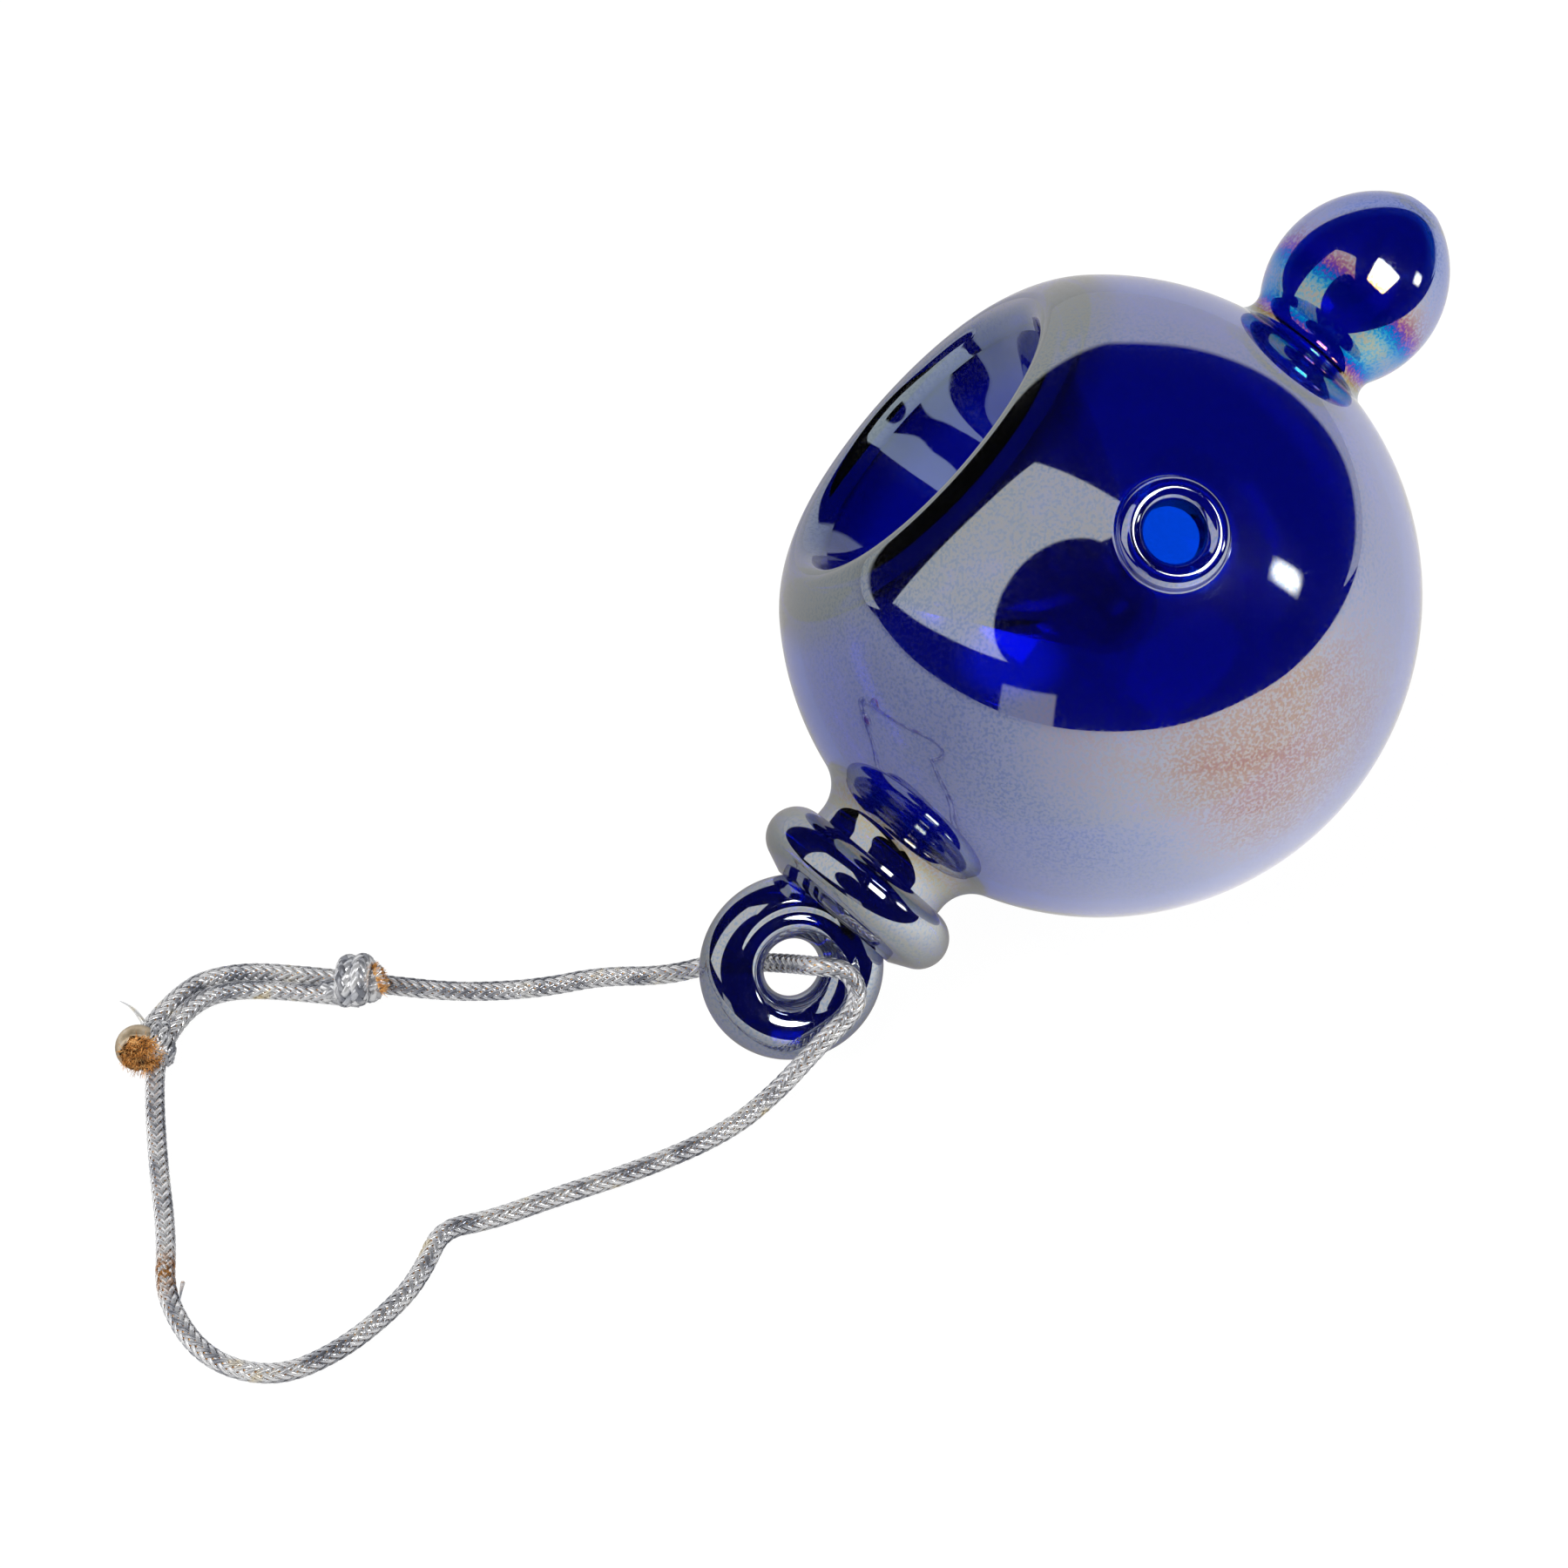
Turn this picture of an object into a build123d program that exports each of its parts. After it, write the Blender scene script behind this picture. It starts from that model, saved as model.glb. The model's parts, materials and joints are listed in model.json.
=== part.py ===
from build123d import *
from math import asin, atan2, cos, degrees, hypot, pi, radians, sin, sqrt, tan
import os

# Hollow blown-glass eye ornament, lying on a table on its globe and its hanger ring, with its cord
# loop laid out in front of the ring. Millimetres. +Z is up from the table, +X runs over the table
# from the ring end to the finial end, and the origin is on the table under the middle of the glass.
# The glass was made in gathers that are fused together, and each gather is a node of its own: they
# meet face to face. "Height" below is a distance from the globe's centre along the feature's axis.

# ---- driving dimensions -----------------------------------------------------------------------
# globe
globe_radius = 30.0  # outside
wall = 1.6  # blown wall of the globe and the eye cup

# eye cup, pushed into the globe square to the main axis
eye_roll = 42.0  # degrees round the main axis, from straight up towards +Y
eye_mouth_radius = 15.2  # of the cone, where it would end without a rim
eye_mouth_drop = 7.2  # of that circle under the globe's own outline
eye_rim_round = 3.2  # of the thick rolled rim between globe and cone
eye_rim_thickness = 2.8  # from the rim's top through to its flat back
eye_seam_margin = 1.88  # from the rim out to the seam with the globe
eye_half_angle = 26.0  # degrees, of the conical cup
eye_floor_radius = 3.4  # inside, of the round bottom
eye_back_round = 1.2

# blow hole with its fire-polished lip
hole_roll = -31.5  # degrees round the main axis, from straight up towards +Y
hole_latitude = 10.7  # degrees from the globe's equator towards the finial
hole_radius = 2.77
lip_round = 1.2  # radius of the rolled lip
lip_rise = 0.53  # of the roll's centre over the seam with the globe
lip_seam_margin = 0.43  # from the roll out to the seam
lip_foot_clearance = 0.05  # of straight wall left over the foot's round

# hanger end: solid neck, flange and ring
neck_waist_radius = 7.26
neck_waist_rise = 1.8  # of the waist over the globe
neck_straight = 0.7  # between the waist and the flange
flange_radius = 10.26
flange_thickness = 6.4
flange_edge_round = 2.9
ring_radius = 5.76  # of the rod's centre line
ring_rod_radius = 3.0
ring_stand = 0.34  # of the rod's centre line over the flange's face
ring_roll = -46.0  # degrees, of the ring's own axis round the main axis, from up towards +Y

# finial: hollow knob on a waisted neck
finial_wall = 1.4
finial_waist_radius = 6.42
finial_waist_round = 1.9
bulb_arc_radius = 11.0
bulb_belly_radius = 8.3
bulb_end_cut = 1.0  # how much the flattened end takes off the bulb's arc
bulb_end_wall = 1.8
bulb_end_round = 0.8

# hanging cord: metallic braid over a fibre core
cord_diameter = 1.8
core_diameter = 1.5
core_end_length = 3.3
knot_length = 5.4
knot_width = 4.6
knot_lift = 0.05  # of cord and knots over the table

# ---- frame ------------------------------------------------------------------------------------
inner_radius = globe_radius - wall

# along the hanger end, each piece starts where the one before it stops
neck_waist_height = globe_radius + neck_waist_rise
flange_start = neck_waist_height + neck_straight
flange_end = flange_start + flange_thickness
ring_height = flange_end + ring_radius + ring_stand

# finial waist: a concave round that touches the globe and the bulb's arc
bulb_arc_offset = bulb_belly_radius - bulb_arc_radius
reach_globe = globe_radius + finial_waist_round
reach_bulb = bulb_arc_radius + finial_waist_round
waist_centre_radius = finial_waist_radius + finial_waist_round
waist_height = sqrt(reach_globe**2 - waist_centre_radius**2)
bulb_belly_height = waist_height + sqrt(reach_bulb**2 - (waist_centre_radius - bulb_arc_offset) ** 2)
bulb_end_height = bulb_belly_height + bulb_arc_radius - bulb_end_cut

# The main axis leans until both the globe and the ring touch the table.
axis_tilt = radians(30)
for _ in range(60):
    ring_drop = ring_radius * sqrt(sin(axis_tilt) ** 2 + (cos(axis_tilt) * sin(radians(ring_roll))) ** 2)
    axis_tilt = asin((globe_radius - ring_rod_radius - ring_drop) / ring_height)

main_axis = Vector(cos(axis_tilt), 0, sin(axis_tilt))
axis_up = Vector(-sin(axis_tilt), 0, cos(axis_tilt))


def rolled(roll, latitude=0.0):
    """Direction at a roll round the main axis and a latitude towards the finial, in degrees."""
    square = axis_up * cos(radians(roll)) + Vector(0, 1, 0) * sin(radians(roll))
    return square * cos(radians(latitude)) + main_axis * sin(radians(latitude))


hanger_axis = main_axis * -1
eye_axis = rolled(eye_roll)
hole_axis = rolled(hole_roll, hole_latitude)
ring_axis = rolled(ring_roll)

# The table origin lies midway between the glass's two ends.
ring_reach = ring_height * cos(axis_tilt) + ring_radius * sqrt(1 - ring_axis.X**2) + ring_rod_radius
finial_reach = bulb_belly_height * cos(axis_tilt) + bulb_arc_offset * sin(axis_tilt) + bulb_arc_radius
globe_centre = Vector((ring_reach - finial_reach) / 2, 0, globe_radius)
ring_centre = globe_centre + hanger_axis * ring_height


def section_plane(direction):
    """Plane through the globe's centre: x is the radius and y the height along the direction."""
    across = direction.cross(Vector(0, 0, 1)).normalized()
    return Plane(origin=globe_centre, x_dir=across, z_dir=across.cross(direction))


def height_on(radius, sphere_radius):
    """Height at which a sphere about the globe's centre has this radius."""
    return sqrt(sphere_radius**2 - radius**2)


def sphere_arc(radius_a, radius_b, sphere_radius):
    """Arc of a sphere's section between two radii."""
    start = (radius_a, height_on(radius_a, sphere_radius))
    end = (radius_b, height_on(radius_b, sphere_radius))
    middle = (radius_a + radius_b) / 2
    return ThreePointArc(start, (middle, height_on(middle, sphere_radius)), end)


os.makedirs("parts", exist_ok=True)


def save(part, name):
    """Label a finished piece and write it."""
    part.label = name
    export_step(part, f"parts/{name}.step")


# ---- seams between the gathers ----------------------------------------------------------------
# eye cup and blow hole lip
half_angle = radians(eye_half_angle)
eye_mouth_height = globe_radius - eye_mouth_drop
rim_reach = globe_radius - eye_rim_round
rim_foot = (eye_mouth_radius + eye_rim_round * cos(half_angle), eye_mouth_height - eye_rim_round * sin(half_angle))
foot_along = rim_foot[0] * sin(half_angle) + rim_foot[1] * cos(half_angle)
rim_slide = sqrt(foot_along**2 + rim_reach**2 - hypot(*rim_foot) ** 2) - foot_along
rim_centre = (rim_foot[0] + rim_slide * sin(half_angle), rim_foot[1] + rim_slide * cos(half_angle))
rim_touch_radius = rim_centre[0] * globe_radius / rim_reach
eye_seam_radius = rim_touch_radius + eye_seam_margin
lip_outer_radius = hole_radius + 2 * lip_round
lip_seam_radius = lip_outer_radius + lip_seam_margin
lip_height = height_on(lip_seam_radius, globe_radius) + lip_rise

# hanger neck: a concave round that touches the globe and the waist
neck_round = (neck_waist_height**2 + neck_waist_radius**2 - globe_radius**2) / (
    2 * (globe_radius - neck_waist_radius)
)
neck_round_centre = (neck_waist_radius + neck_round, neck_waist_height)
neck_seam_radius = neck_round_centre[0] * globe_radius / hypot(*neck_round_centre)

# finial
waist_centre = (waist_centre_radius, waist_height)
finial_seam_radius = waist_centre_radius * globe_radius / reach_globe
bulb_touch = (
    bulb_arc_offset + (waist_centre[0] - bulb_arc_offset) * bulb_arc_radius / reach_bulb,
    bulb_belly_height + (waist_centre[1] - bulb_belly_height) * bulb_arc_radius / reach_bulb,
)
finial_bore = finial_waist_radius - finial_wall


# ---- globe ------------------------------------------------------------------------------------
with BuildPart() as globe:
    with Locations(globe_centre):
        Sphere(globe_radius)
        Sphere(inner_radius, mode=Mode.SUBTRACT)
    for direction, seam_radius in (
        (eye_axis, eye_seam_radius),
        (hole_axis, lip_seam_radius),
        (hanger_axis, neck_seam_radius),
        (main_axis, finial_seam_radius),
    ):
        with Locations(Plane(origin=globe_centre, z_dir=direction)):
            Cylinder(seam_radius, 2 * globe_radius, align=(Align.CENTER, Align.CENTER, Align.MIN),
                     mode=Mode.SUBTRACT)
save(globe.part, "globe")


# ---- eye cup ----------------------------------------------------------------------------------
# A cone with a round floor, closed at the bottom, under a thick rolled rim that runs on from the globe.
floor_height = eye_mouth_height - (eye_mouth_radius - eye_floor_radius / cos(half_angle)) / tan(half_angle)
outer_floor_radius = eye_floor_radius + wall
back_height = rim_centre[1] + eye_rim_round - eye_rim_thickness
back_shoulder_radius = sqrt(inner_radius**2 - back_height**2)
back_mouth_radius = (
    eye_mouth_radius + wall / cos(half_angle) - (eye_mouth_height - back_height) * tan(half_angle)
)


def floor_touch(radius):
    """Where the floor's round of this radius runs into the cone."""
    return (radius * cos(half_angle), floor_height - radius * sin(half_angle))


with BuildPart() as eye_cup:
    with BuildSketch(section_plane(eye_axis)) as cup_section:
        with BuildLine():
            sphere_arc(eye_seam_radius, rim_touch_radius, globe_radius)
            rim_angle = degrees(atan2(rim_centre[1], rim_centre[0]))
            rim = CenterArc(rim_centre, eye_rim_round, rim_angle, 180 - eye_half_angle - rim_angle)
            Line(rim @ 1, floor_touch(eye_floor_radius))
            CenterArc((0, floor_height), eye_floor_radius, -90, 90 - eye_half_angle)
            Line((0, floor_height - eye_floor_radius), (0, floor_height - outer_floor_radius))
            CenterArc((0, floor_height), outer_floor_radius, -90, 90 - eye_half_angle)
            Line(floor_touch(outer_floor_radius), (back_mouth_radius, back_height))
            Line((back_mouth_radius, back_height), (back_shoulder_radius, back_height))
            sphere_arc(back_shoulder_radius, eye_seam_radius, inner_radius)
            Line((eye_seam_radius, height_on(eye_seam_radius, inner_radius)),
                 (eye_seam_radius, height_on(eye_seam_radius, globe_radius)))
        make_face()
        for corner, rounding in (
            ((back_mouth_radius, back_height), eye_back_round),
            ((back_shoulder_radius, back_height), eye_back_round),
        ):
            fillet(cup_section.vertices().sort_by_distance(corner)[0], rounding)
    revolve(axis=Axis(globe_centre, eye_axis))
save(eye_cup.part, "eye_cup")


# ---- blow hole lip ----------------------------------------------------------------------------
lip_foot_height = height_on(lip_outer_radius, globe_radius)
lip_foot_round = lip_height - lip_foot_height - lip_foot_clearance
with BuildPart() as blow_hole_lip:
    with BuildSketch(section_plane(hole_axis)) as lip_section:
        with BuildLine():
            sphere_arc(hole_radius, lip_seam_radius, inner_radius)
            Line((lip_seam_radius, height_on(lip_seam_radius, inner_radius)),
                 (lip_seam_radius, height_on(lip_seam_radius, globe_radius)))
            sphere_arc(lip_seam_radius, lip_outer_radius, globe_radius)
            Line((lip_outer_radius, lip_foot_height), (lip_outer_radius, lip_height))
            CenterArc((hole_radius + lip_round, lip_height), lip_round, 0, 180)
            Line((hole_radius, lip_height), (hole_radius, height_on(hole_radius, inner_radius)))
        make_face()
        foot = lip_section.vertices().sort_by_distance((lip_outer_radius, lip_foot_height))[0]
        fillet(foot, lip_foot_round)
    revolve(axis=Axis(globe_centre, hole_axis))
save(blow_hole_lip.part, "blow_hole_lip")


# ---- hanger neck ------------------------------------------------------------------------------
with BuildPart() as hanger_neck:
    with BuildSketch(section_plane(hanger_axis)):
        with BuildLine():
            seam_angle = degrees(atan2(neck_waist_height, neck_round_centre[0]))
            CenterArc(neck_round_centre, neck_round, 180, seam_angle)
            Line((neck_waist_radius, neck_waist_height), (neck_waist_radius, flange_start))
            Line((neck_waist_radius, flange_start), (0, flange_start))
            Line((0, flange_start), (0, inner_radius))
            sphere_arc(0, neck_seam_radius, inner_radius)
            Line((neck_seam_radius, height_on(neck_seam_radius, inner_radius)),
                 (neck_seam_radius, height_on(neck_seam_radius, globe_radius)))
        make_face()
    revolve(axis=Axis(globe_centre, hanger_axis))
save(hanger_neck.part, "hanger_neck")


# ---- neck flange ------------------------------------------------------------------------------
# A gather pressed flat: a rounded edge, square on the neck side and eased towards the ring.
bevel_angle = 66
edge_centre = (flange_radius - flange_edge_round, flange_start + flange_edge_round)
bevel_start = (
    edge_centre[0] + flange_edge_round * cos(radians(bevel_angle)),
    edge_centre[1] + flange_edge_round * sin(radians(bevel_angle)),
)
flange_end_radius = bevel_start[0] - (flange_end - bevel_start[1]) * tan(radians(bevel_angle))
with BuildPart() as neck_flange:
    with BuildSketch(section_plane(hanger_axis)):
        with BuildLine():
            Line((0, flange_start), (edge_centre[0], flange_start))
            CenterArc(edge_centre, flange_edge_round, -90, 90 + bevel_angle)
            Line(bevel_start, (flange_end_radius, flange_end))
            Line((flange_end_radius, flange_end), (0, flange_end))
            Line((0, flange_end), (0, flange_start))
        make_face()
    revolve(axis=Axis(globe_centre, hanger_axis))
save(neck_flange.part, "neck_flange")


# ---- hanger ring ------------------------------------------------------------------------------
# A rod bent round into a ring, its upper side sunk into the flange's face.
flange_face = Plane(origin=globe_centre + hanger_axis * flange_end, z_dir=hanger_axis)
with BuildPart() as hanger_ring:
    with Locations(Plane(origin=ring_centre, x_dir=hanger_axis, z_dir=ring_axis)):
        Torus(ring_radius, ring_rod_radius)
    split(bisect_by=flange_face, keep=Keep.TOP)
save(hanger_ring.part, "hanger_ring")


# ---- finial neck ------------------------------------------------------------------------------
with BuildPart() as finial_neck:
    with BuildSketch(section_plane(main_axis)):
        with BuildLine():
            seam_angle = degrees(atan2(waist_centre[1], waist_centre[0]))
            CenterArc(waist_centre, finial_waist_round, 180, seam_angle)
            Line((finial_waist_radius, waist_height), (finial_bore, waist_height))
            Line((finial_bore, waist_height), (finial_bore, height_on(finial_bore, inner_radius)))
            sphere_arc(finial_bore, finial_seam_radius, inner_radius)
            Line((finial_seam_radius, height_on(finial_seam_radius, inner_radius)),
                 (finial_seam_radius, height_on(finial_seam_radius, globe_radius)))
        make_face()
    revolve(axis=Axis(globe_centre, main_axis))
save(finial_neck.part, "finial_neck")


# ---- finial bulb ------------------------------------------------------------------------------
def bulb_arc(arc_radius, start, end_height):
    """Side of the bulb, inside or outside, from a start point up to a height."""
    reach = end_height - bulb_belly_height
    end = (bulb_arc_offset + sqrt(arc_radius**2 - reach**2), end_height)
    return ThreePointArc(start, (bulb_arc_offset + arc_radius, bulb_belly_height), end)


bulb_inner_arc = bulb_arc_radius - finial_wall
bore_drop = sqrt(bulb_inner_arc**2 - (finial_bore - bulb_arc_offset) ** 2)
bulb_floor = (finial_bore, bulb_belly_height - bore_drop)
touch_angle = degrees(atan2(waist_centre[1] - bulb_touch[1], waist_centre[0] - bulb_touch[0]))
with BuildPart() as finial_bulb:
    with BuildSketch(section_plane(main_axis)) as bulb_section:
        with BuildLine():
            CenterArc(waist_centre, finial_waist_round, 180, touch_angle)
            outside = bulb_arc(bulb_arc_radius, bulb_touch, bulb_end_height)
            Line(outside @ 1, (0, bulb_end_height))
            Line((0, bulb_end_height), (0, bulb_end_height - bulb_end_wall))
            inside = bulb_arc(bulb_inner_arc, bulb_floor, bulb_end_height - bulb_end_wall)
            Line((0, bulb_end_height - bulb_end_wall), inside @ 1)
            Line(bulb_floor, (finial_bore, waist_height))
            Line((finial_bore, waist_height), (finial_waist_radius, waist_height))
        make_face()
        fillet(bulb_section.vertices().sort_by_distance(outside @ 1)[0], bulb_end_round)
    revolve(axis=Axis(globe_centre, main_axis))
save(finial_bulb.part, "finial_bulb")


# ---- cord -------------------------------------------------------------------------------------
# One length of cord: from its cut end at the far knot along the lap, back to the ring, through it
# and over its rod, and round the loop to the far knot and along the lap to the near knot. X is
# counted from under the ring's centre.
floor = cord_diameter / 2 + knot_lift
cord_route = [
    (-47.9, 38.5, floor),
    (-41.1, 41.3, floor),
    (-35.4, 39.6, floor),
    (-30.2, 33.9, floor),
    (-25.2, 27.6, floor),
    (-21.2, 22.9, floor),
    (-15.6, 18.4, floor),
    (-10.2, 15.6, floor),
    (-5.6, 11.4, floor),
    (-1.2, 9.2, 1.3),
    (-0.2, 5.8, 3.6),
    (0.6, 0.6, 7.1),
    (0.1, -3.1, 10.3),
    (2.5, -5.4, 9.9),
    (1.9, -7.5, 7.1),
    (-2.9, -7.1, 5.1),
    (-7.2, -6.1, floor),
    (-14.1, -6.6, floor),
    (-22.6, -4.6, floor),
    (-31.1, -1.5, floor),
    (-37.0, 0.4, floor),
    (-40.8, 2.6, floor),
    (-44.8, 0.2, floor),
    (-49.0, -1.3, floor),
    (-56.2, -1.9, floor),
    (-62.5, -0.3, floor),
    (-65.8, 5.6, floor),
    (-64.2, 13.4, floor),
    (-59.8, 18.6, floor),
    (-55.2, 25.8, floor),
    (-50.4, 32.6, floor),
    (-47.0, 36.6, floor),
    (-41.0, 39.2, floor),
    (-36.6, 37.8, floor),
    (-31.8, 32.6, floor),
    (-28.8, 28.9, floor),
]
under_ring = Vector(ring_centre.X, 0, 0)
corners = [under_ring + Vector(*point) for point in cord_route]
bend_radii = []
for before, corner, after in zip(corners, corners[1:], corners[2:]):
    arriving = corner - before
    leaving = after - corner
    turn = radians(arriving.get_angle(leaving))
    bend_radii.append(0.45 * min(arriving.length, leaving.length) / tan(turn / 2))
    print(f"bend at {corner.X:.1f}, {corner.Y:.1f}: turn {degrees(turn):.0f} deg, radius {bend_radii[-1]:.1f}")

with BuildPart() as cord_braid:
    with BuildLine() as route:
        FilletPolyline(*corners, radius=bend_radii)
    with BuildSketch(Plane(origin=corners[0], z_dir=corners[1] - corners[0])):
        Circle(cord_diameter / 2)
    sweep()
cord_length = route.wires()[0].length
print(f"cord length {cord_length:.1f}, volume over section times length "
      f"{cord_braid.part.volume / (pi * cord_diameter**2 / 4 * cord_length):.4f}")
save(cord_braid.part, "cord_braid")


# ---- knots and cut ends -----------------------------------------------------------------------
# Each knot is one end of the cord tied round the other strand, drawn up to a lump.
near_strand = (corners[-1] - corners[-2]).normalized()
far_strand = (corners[-5] - corners[-6]).normalized()
knot_height = knot_width / 2 + knot_lift
near_knot_centre = under_ring + Vector(-28.4, 29.7, knot_height)
far_knot_centre = under_ring + Vector(-48.0, 36.9, knot_height)

for name, centre, strand in (
    ("near_knot", near_knot_centre, near_strand),
    ("far_knot", far_knot_centre, far_strand),
):
    with BuildPart() as knot:
        with BuildSketch(Plane(origin=centre, x_dir=strand, z_dir=Vector(0, 0, 1))):
            Ellipse(knot_length / 2, knot_width / 2)
            split(bisect_by=Plane.XZ, keep=Keep.TOP)
        revolve(axis=Axis(centre, strand))
    save(knot.part, name)

# The cut ends, where the scorched fibre core shows, point out of the knots.
for name, centre, direction in (
    ("near_cut_end", near_knot_centre, Vector(0.82, -0.5, 0.28)),
    ("far_cut_end", far_knot_centre, Vector(-0.7, -0.5, 0.5)),
):
    with BuildPart() as cut_end:
        with BuildSketch(Plane(origin=centre, z_dir=direction)):
            Circle(core_diameter / 2)
        extrude(amount=core_end_length)
    save(cut_end.part, name)

print(f"axis tilt {degrees(axis_tilt):.3f}, globe centre {globe_centre}, ring centre {ring_centre}")
print(f"eye axis {eye_axis}, hole axis {hole_axis}, ring axis {ring_axis}, main axis {main_axis}")
print(f"neck seam {neck_seam_radius:.3f}, waist at {waist_height:.3f}, "
      f"finial seam {finial_seam_radius:.3f}, floor of the cup {floor_height - eye_floor_radius:.3f}")
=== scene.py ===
import json
import math
import bmesh
import bpy
from mathutils import Matrix, Vector
from mathutils.geometry import delaunay_2d_cdt


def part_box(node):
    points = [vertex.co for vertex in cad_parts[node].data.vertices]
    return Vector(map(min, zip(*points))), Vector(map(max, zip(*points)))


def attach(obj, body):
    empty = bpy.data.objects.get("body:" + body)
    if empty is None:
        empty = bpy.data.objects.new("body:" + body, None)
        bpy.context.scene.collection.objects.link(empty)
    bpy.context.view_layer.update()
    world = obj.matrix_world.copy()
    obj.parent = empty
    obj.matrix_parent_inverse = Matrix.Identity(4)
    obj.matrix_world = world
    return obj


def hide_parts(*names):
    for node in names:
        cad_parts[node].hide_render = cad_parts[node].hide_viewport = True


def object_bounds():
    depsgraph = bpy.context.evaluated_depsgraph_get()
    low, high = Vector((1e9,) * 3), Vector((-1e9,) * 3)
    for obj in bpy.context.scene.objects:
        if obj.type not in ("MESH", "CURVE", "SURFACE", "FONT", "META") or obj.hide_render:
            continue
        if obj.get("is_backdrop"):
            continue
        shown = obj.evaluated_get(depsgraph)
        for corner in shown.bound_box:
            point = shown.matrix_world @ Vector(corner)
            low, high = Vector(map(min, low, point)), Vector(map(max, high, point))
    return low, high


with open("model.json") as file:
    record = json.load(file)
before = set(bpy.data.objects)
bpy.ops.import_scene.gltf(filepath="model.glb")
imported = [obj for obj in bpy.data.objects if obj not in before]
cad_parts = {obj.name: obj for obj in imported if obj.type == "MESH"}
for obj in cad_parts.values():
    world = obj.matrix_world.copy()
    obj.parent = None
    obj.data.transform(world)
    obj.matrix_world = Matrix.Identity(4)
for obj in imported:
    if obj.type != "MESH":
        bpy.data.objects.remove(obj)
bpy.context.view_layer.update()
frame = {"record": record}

mm = 0.001


# ---- glass body --------------------------------------------------
# One hollow piece of cobalt glass, blown and fused: a globe with a sunken eye cup, a lipped blow
# hole, a hollow finial, and a solid neck, flange and ring. Every gather is turned about a line
# through the globe's centre, and the globe's skin is laid between the gathers' edges.
globe_radius = 30.0
wall = 1.6
ring_height = 45.0
ring_centre = Vector(frame["record"]["mounts"][1]["pos_m"]) / mm
axis_drop = (ring_centre.z - globe_radius) / ring_height
main_axis = Vector((math.sqrt(1 - axis_drop**2), 0, -axis_drop))
axis_up = Vector((-main_axis.z, 0, main_axis.x))
globe_centre = ring_centre + main_axis * ring_height


def rolled(roll, latitude=0.0):
    """Direction at a roll about the main axis and a latitude towards the finial, in degrees."""
    roll, latitude = math.radians(roll), math.radians(latitude)
    square = axis_up * math.cos(roll) + Vector((0, 1, 0)) * math.sin(roll)
    return square * math.cos(latitude) + main_axis * math.sin(latitude)


hanger_axis = -main_axis
eye_axis = rolled(42)
hole_axis = rolled(-31.5, 10.7)
ring_axis = rolled(-46)


def height_on(radius, sphere_radius):
    """Height above a sphere's centre of its circle of this radius."""
    return math.sqrt(sphere_radius**2 - radius**2)


def arc(centre, radius, start, stop, finest=6.0, longest=0.7):
    """Points along an arc of a section, in degrees from the outward direction."""
    turn = math.radians(stop - start)
    count = max(2, math.ceil(abs(stop - start) / finest), math.ceil(abs(turn) * radius / longest))
    angles = [math.radians(start) + turn * i / count for i in range(count + 1)]
    return [(centre[0] + radius * math.cos(a), centre[1] + radius * math.sin(a)) for a in angles]


def run(start, stop, longest=0.8):
    """Points along a straight run of a section."""
    count = max(1, math.ceil(math.dist(start, stop) / longest))
    return [(start[0] + (stop[0] - start[0]) * i / count, start[1] + (stop[1] - start[1]) * i / count)
            for i in range(count + 1)]


def heading(point):
    return math.degrees(math.atan2(point[1], point[0]))


def corner_round(corner, lean_a, lean_b, radius):
    """Centre of a round that touches two runs through a corner, whose normals lean these ways."""
    a, b = math.radians(lean_a), math.radians(lean_b)
    det = math.cos(a) * math.sin(b) - math.sin(a) * math.cos(b)
    return (corner[0] - radius * (math.sin(b) - math.sin(a)) / det,
            corner[1] - radius * (math.cos(a) - math.cos(b)) / det)


# eye cup: a cone with a round floor, under a thick rim whose tight inner roll eases on to the globe
mouth_radius, mouth_height, rim_top, lip_round, lip_lean = 15.2, globe_radius - 7.2, 23.65, 1.8, 68
half_angle, floor_radius = 26.0, 3.4
sin_half, cos_half = math.sin(math.radians(half_angle)), math.cos(math.radians(half_angle))
slide = (rim_top - lip_round - mouth_height + lip_round * sin_half) / cos_half
lip_centre = (mouth_radius + lip_round * cos_half + slide * sin_half, rim_top - lip_round)
join = (math.cos(math.radians(lip_lean)), math.sin(math.radians(lip_lean)))
reach = globe_radius - lip_round
along_join = lip_centre[0] * join[0] + lip_centre[1] * join[1]
extra = (reach**2 - math.hypot(*lip_centre) ** 2) / (2 * (reach - along_join))
rim_round = lip_round + extra
rim_centre = (lip_centre[0] - extra * join[0], lip_centre[1] - extra * join[1])
floor_height = mouth_height - (mouth_radius * cos_half - floor_radius) / sin_half
eye_outside = arc(rim_centre, rim_round, heading(rim_centre), lip_lean, 3, 0.5)
eye_outside += arc(lip_centre, lip_round, lip_lean, 180 - half_angle, 4)[1:]
eye_outside += run(eye_outside[-1], arc((0, floor_height), floor_radius, -half_angle, -90)[0])[1:-1]
eye_outside += arc((0, floor_height), floor_radius, -half_angle, -90)

# the cup's hidden side: from the globe's inner wall it bends under the rim and down the cone
inner_radius = globe_radius - wall
back_height, back_round = 20.67, 1.2
back_centre = (height_on(back_height - back_round, inner_radius - back_round), back_height - back_round)
back_across = mouth_radius * cos_half + wall - (mouth_height - back_height) * sin_half
bend_centre = corner_round((back_across / cos_half, back_height), 90, 180 - half_angle, back_round)
eye_inside = arc(back_centre, back_round, heading(back_centre), 90, 10)
eye_inside += arc(bend_centre, back_round, 90, 180 - half_angle, 10)
eye_inside += run(eye_inside[-1], arc((0, floor_height), floor_radius + wall, -half_angle, -90)[0])[1:-1]
eye_inside += arc((0, floor_height), floor_radius + wall, -half_angle, -90)

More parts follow.
